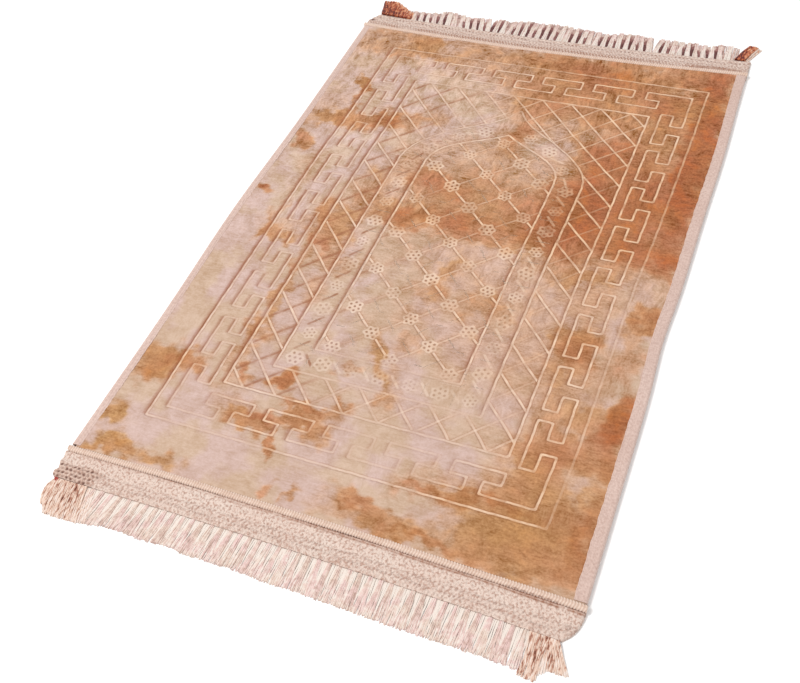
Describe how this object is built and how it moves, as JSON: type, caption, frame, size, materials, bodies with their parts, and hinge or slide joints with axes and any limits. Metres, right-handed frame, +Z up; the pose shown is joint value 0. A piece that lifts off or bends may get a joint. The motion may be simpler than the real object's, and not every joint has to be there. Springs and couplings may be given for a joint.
{
  "type": "prayer rug",
  "caption": "Padded rectangular prayer rug with a pressed niche, key border and lattice, side tapes, corded ends and knotted fringe.",
  "frame": {"origin": "middle of the pad's flat underside, on the surface that the rug lies on", "axes": "+X across the rug to the right, +Y along it to the end that the niche points to, +Z up"},
  "size_m": [0.7167, 1.2277, 0.0119],
  "materials": {
    "velvet": "pressed polyester velvet, mottled copper and rose beige",
    "side_tape": "folded satin binding tape",
    "corded_roll": "chevron knitted cord",
    "woven_band": "ribbed woven heading with knotted rows",
    "fringe_yarn": "loose twisted yarn",
    "tassel_yarn": "bunched yarn, shaded russet"
  },
  "bodies": {
    "root": {"velvet_pad": "velvet", "tape_left": "side_tape", "tape_right": "side_tape", "cord_near": "corded_roll", "cord_far": "corded_roll", "band_near": "woven_band", "band_far": "woven_band", "fringe_near": "fringe_yarn", "fringe_far": "fringe_yarn", "tassel_near_left": "tassel_yarn", "tassel_near_right": "tassel_yarn", "tassel_far_left": "tassel_yarn", "tassel_far_right": "tassel_yarn"}
  },
  "joints": []
}
